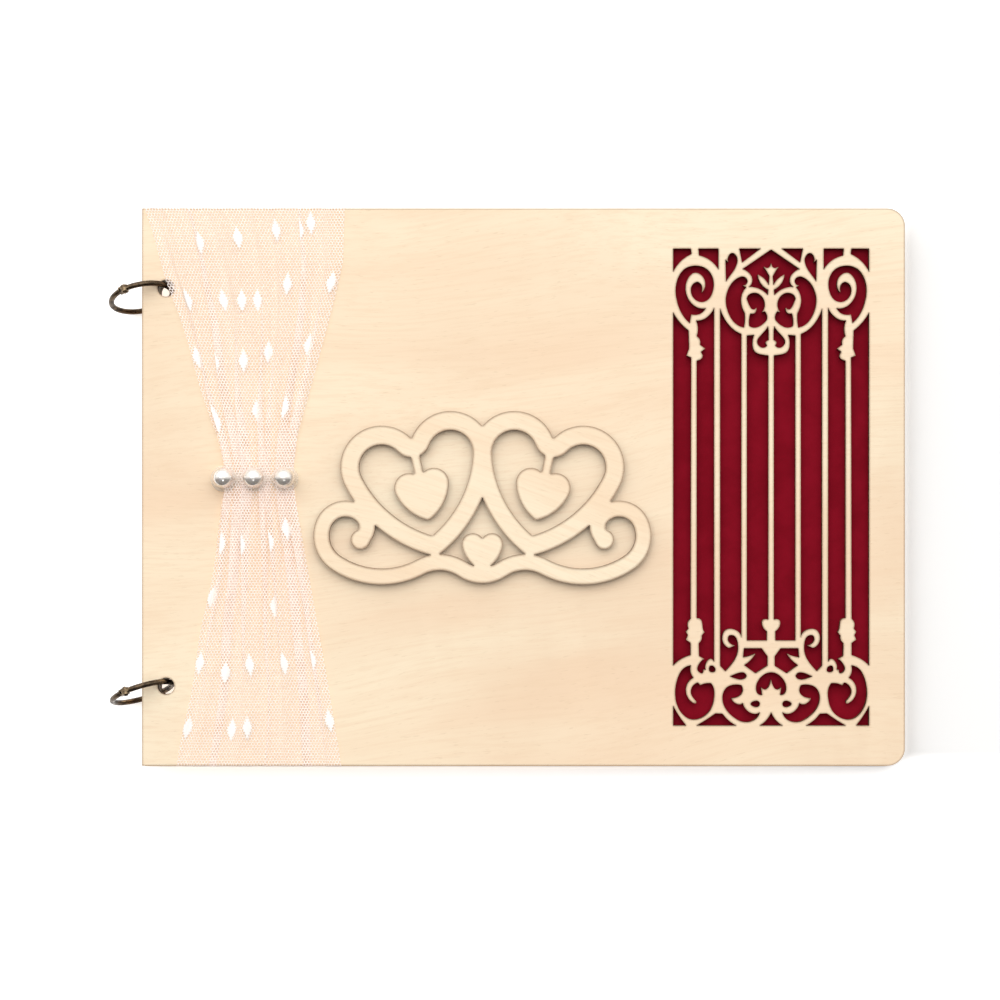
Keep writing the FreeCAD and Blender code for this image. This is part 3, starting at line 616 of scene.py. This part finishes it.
def make_dots(lie, material):
    """The woven dots: lozenges with stepped edges, raised a little off the net."""
    steps_along, steps_across = 25, 9
    lengthwise = np.linspace(-1, 1, steps_along)
    crosswise = np.linspace(-1, 1, steps_across)
    notched = DOT_NOTCH * (np.arange(steps_along) % 3 == 1)
    half = DOT_WIDTH / 2 * np.clip(1.12 * (1 - np.abs(lengthwise)) + 0.10 - notched, 0.05, 1)
    verts, faces, marks = [], [], []
    for x, y in DOTS:
        middle, middle_y = dot_on_cloth(lie, x * MM, y * MM)
        across = (middle + crosswise[None, :] * half[:, None]) / TULLE_WIDTH
        along = middle_y + lengthwise[:, None] * DOT_LENGTH / 2 + 0 * across
        points = cloth_at(lie, across, along)
        points[..., 2] += 0.10 * MM * (1 - crosswise[None, :] ** 2) + 0.05 * MM
        start = len(verts)
        verts += points.reshape(-1, 3).tolist()
        marks += np.stack([across * TULLE_WIDTH, along], -1).reshape(-1, 2).tolist()
        for r in range(steps_along - 1):
            for c in range(steps_across - 1):
                corner = start + r * steps_across + c
                faces.append((corner, corner + 1, corner + steps_across + 1, corner + steps_across))
    mesh = bpy.data.meshes.new("tulle_dots")
    mesh.from_pydata(verts, [], faces)
    layer = mesh.uv_layers.new(name="cloth")
    corners = np.array(faces).reshape(-1)
    layer.data.foreach_set("uv", np.array(marks, np.float32)[corners].ravel())
    mesh.polygons.foreach_set("use_smooth", [True] * len(mesh.polygons))
    mesh.materials.append(material)
    made = bpy.data.objects.new("tulle_dots", mesh)
    bpy.context.scene.collection.objects.link(made)
    return made


# ---------------------------------------------------------------- pearls and glue


def joined_blobs(name, blobs, voxel, material):
    """One smooth closed mesh from flattened balls: each has a centre, a radius and a half height."""
    verts, faces = [], []
    around, rings = 40, 16
    for centre, radius_x, radius_y, half_height in blobs:
        start = len(verts)
        for ring in range(rings + 1):
            tilt = math.pi * ring / rings
            for step in range(around):
                turn = 2 * math.pi * step / around
                verts.append((
                    centre[0] + radius_x * math.sin(tilt) * math.cos(turn),
                    centre[1] + radius_y * math.sin(tilt) * math.sin(turn),
                    centre[2] + half_height * math.cos(tilt),
                ))
        for ring in range(rings):
            for step in range(around):
                after = (step + 1) % around
                low = start + ring * around
                faces.append((low + step, low + after, low + around + after, low + around + step))
    mesh = bpy.data.meshes.new(name)
    mesh.from_pydata(verts, [], faces)
    made = bpy.data.objects.new(name, mesh)
    bpy.context.scene.collection.objects.link(made)
    remesh = made.modifiers.new("remesh", "REMESH")
    remesh.mode = "VOXEL"
    remesh.voxel_size = voxel
    relax = made.modifiers.new("relax", "SMOOTH")
    relax.factor = 0.5
    relax.iterations = 6
    graph = bpy.context.evaluated_depsgraph_get()
    final = bpy.data.meshes.new_from_object(made.evaluated_get(graph))
    made.modifiers.clear()
    made.data = final
    final.name = name
    final.polygons.foreach_set("use_smooth", [True] * len(final.polygons))
    final.materials.clear()
    final.materials.append(material)
    return made


# the pads' radii under the three pearls, and the half widths of the glue between them, in millimetres
GLUE_SPREADS = (4.7, 4.6, 4.8)
GLUE_BRIDGES = (2.6, 1.4)
GLUE_VOXEL = 0.16 * MM
# a bead's drilled hole: the angle of its rim from the bead's middle, and its depth
BEAD_HOLE_ANGLE = 0.11
BEAD_HOLE_DEPTH = 1.2 * MM


def make_glue(material):
    """Three round pads run together under the pearls, with a strip of glue from the first to the second."""
    low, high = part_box("pearl_glue")
    middle_y = (low.y + high.y) / 2
    floor_z = COVER_TOP + TULLE_LIFT + 0.45 * MM
    centres = [sum(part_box(name), Vector()) / 2 for name in PEARLS]
    blobs = []
    for index, centre in enumerate(centres):
        spread = GLUE_SPREADS[index] * MM
        blobs.append(((centre.x, middle_y - 0.35 * MM, floor_z), spread, spread * 0.98, 0.62 * MM))
    for first, second, width in zip(centres, centres[1:], GLUE_BRIDGES):
        between = (first + second) / 2
        blobs.append(((between.x, middle_y - 0.2 * MM, floor_z), 4.4 * MM, width * MM, 0.5 * MM))
    return joined_blobs("glue_pads", blobs, GLUE_VOXEL, material)


def make_pearl(name, material, seed):
    """A bead turned smooth, very slightly out of round, with its drilled ends sideways."""
    low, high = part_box(name)
    radius = (high.x - low.x) / 2
    centre = Vector(((low.x + high.x) / 2, (low.y + high.y) / 2, high.z - radius))
    mesh = bpy.data.meshes.new(name + "_bead")
    around, rings = 64, 40
    verts, faces = [], []
    for ring in range(rings + 1):
        tilt = BEAD_HOLE_ANGLE + (math.pi - 2 * BEAD_HOLE_ANGLE) * ring / rings
        for step in range(around):
            turn = 2 * math.pi * step / around
            swell = radius * (1 + 0.004 * math.sin(3 * turn + seed) * math.sin(tilt))
            verts.append((
                centre.x + radius * math.cos(tilt),
                centre.y + swell * math.sin(tilt) * math.cos(turn),
                centre.z + min(swell, radius) * math.sin(tilt) * math.sin(turn),
            ))
    for ring in range(rings):
        for step in range(around):
            after = (step + 1) % around
            faces.append((ring * around + after, ring * around + step,
                          (ring + 1) * around + step, (ring + 1) * around + after))
    for first, sign in ((0, -1), (rings * around, 1)):
        start = len(verts)
        for step in range(around):
            x, y, z = verts[first + step]
            verts.append((x + sign * BEAD_HOLE_DEPTH, y, z))
        hub = len(verts)
        verts.append((verts[start][0], centre.y, centre.z))
        for step in range(around):
            after = (step + 1) % around
            wall = (first + step, first + after, start + after, start + step)
            faces.append(wall if sign < 0 else wall[::-1])
            cap = (start + step, start + after, hub)
            faces.append(cap if sign < 0 else cap[::-1])
    mesh.from_pydata(verts, [], faces)
    mesh.polygons.foreach_set("use_smooth", [True] * len(mesh.polygons))
    mesh.materials.append(material)
    made = bpy.data.objects.new(name + "_bead", mesh)
    bpy.context.scene.collection.objects.link(made)
    return made


# ---------------------------------------------------------------- stage

FLOOR_HALF = 3.0
FLOOR_STEPS = 24
# from the rings' outermost points to where they touch the table
RING_TOUCH_IN = 9 * MM


def aim(thing, target):
    direction = Vector(target) - thing.location
    thing.rotation_euler = direction.to_track_quat("-Z", "Y").to_euler()


def make_camera():
    data = bpy.data.cameras.new("camera")
    data.sensor_width = SENSOR
    data.lens = SENSOR * CAMERA_HEIGHT / VIEW_WIDTH
    data.clip_start = 0.01
    camera = bpy.data.objects.new("camera", data)
    camera.location = (VIEW_CENTRE[0], VIEW_CENTRE[1], COVER_TOP + CAMERA_HEIGHT)
    bpy.context.scene.collection.objects.link(camera)
    bpy.context.scene.camera = camera


def make_lamp(name, place, size, power):
    data = bpy.data.lights.new(name, "AREA")
    data.shape = "RECTANGLE"
    data.size, data.size_y = size
    data.energy = power
    lamp = bpy.data.objects.new(name, data)
    lamp.location = place
    bpy.context.scene.collection.objects.link(lamp)
    aim(lamp, (0, 0, 0))


def make_light():
    """A large softbox past the head, a small lamp towards the foot, and a room dim at the foot."""
    make_lamp("softbox", place=(-0.10, 0.70, 1.15), size=(1.5, 1.4), power=9.9)
    make_lamp("fill", place=(0.10, -0.75, 1.25), size=(0.16, 0.16), power=0.7)
    world = bpy.data.worlds.new("room")
    bpy.context.scene.world = world
    world.use_nodes = True
    net = Net(world.node_tree)
    toward = net.parts_of(net.node("ShaderNodeTexCoord").outputs["Generated"])
    head_side, foot_side = net.ramp(toward["Y"], -0.03, 0.10), net.ramp(toward["Y"], -0.08, -0.30)
    diffuser = net.math("MULTIPLY", head_side, net.ramp(toward["Z"], 0.05, 0.30))
    dark_side = net.math("MULTIPLY", foot_side, net.ramp(toward["Z"], 0.97, 0.85))
    seen = net.node("ShaderNodeLightPath").outputs["Is Camera Ray"]
    unseen = net.math("SUBTRACT", 1.0, seen)
    room = net.mix(net.math("MULTIPLY", diffuser, unseen), (0.60, 0.59, 0.58, 1), (1.24, 1.23, 1.21, 1))
    room = net.mix(net.math("MULTIPLY", dark_side, unseen), room, (0.085, 0.072, 0.064, 1))
    background = world.node_tree.nodes["Background"]
    net.feed(background.inputs["Color"], room)
    background.inputs["Strength"].default_value = 1.0
    bpy.context.scene.view_settings.view_transform = "Standard"


def make_floor():
    """The table top. The book tips on it a little: it touches at the rings and at the fore edge.

    The sheet is turned over, so its patch without glow lies past the fore edge, not under the book."""
    rings_low = min(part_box(name)[0].z for name in RING_PIECES)
    rings_x = min(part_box(name)[0].x for name in RING_PIECES)
    touch_x = rings_x + RING_TOUCH_IN
    tip = math.atan2(rings_low, touch_x - BACK_EDGE_X)
    steps = np.linspace(-FLOOR_HALF, FLOOR_HALF, FLOOR_STEPS)
    grid_x, grid_y = np.meshgrid(steps, steps)
    points = np.stack([grid_x, grid_y, 0 * grid_x], -1)
    floor = grid_mesh("floor", points, points[..., :2], floor_paper())
    turn = Matrix.Rotation(-tip, 4, "Y")
    floor.matrix_world = Matrix.Translation((BACK_EDGE_X, 0, -0.02 * MM)) @ turn


# ---------------------------------------------------------------- build

make_camera()
make_light()
make_floor()

finish_node("front_cover", plywood("cover_plywood", (0.0, 0.0, 0.0), slope=-0.10))
finish_node("back_cover", plywood("back_plywood", (0.7, 0.37, 0.2), slope=0.05, warm=0.4))
finish_node("heart_motif", plywood("motif_plywood", (0.21, 0.83, 0.1), slope=0.3, warm=0.6,
                                   toast_reach=1.1 * MM, toast_share=0.85))
crimson_card = card("crimson_card", (0.195, 0.0015, 0.0095, 1), (0.245, 0.003, 0.014, 1), 0.25, 0.7)
finish_node("window_card", crimson_card)
leaf_paper = card("leaf_paper", (0.80, 0.76, 0.68, 1), (0.86, 0.83, 0.76, 1), 0.35, 0.75)
for leaf in LEAVES:
    finish_node(leaf, leaf_paper)
ring_metal = bronze()
for piece in RING_PIECES:
    finish_node(piece, ring_metal)

lie = lie_of_cloth()
strip = make_tulle(lie, tulle_net())
dots = make_dots(lie, dot_thread())
for piece in (strip, dots):
    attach(piece, "front_cover")
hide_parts("tulle_drape")

pearl_finish = pearl()
for index, name in enumerate(PEARLS):
    bead = make_pearl(name, pearl_finish, 1.7 * index)
    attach(bead, "front_cover")
    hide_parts(name)
glue = make_glue(clear_glue())
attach(glue, "front_cover")
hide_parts("pearl_glue")
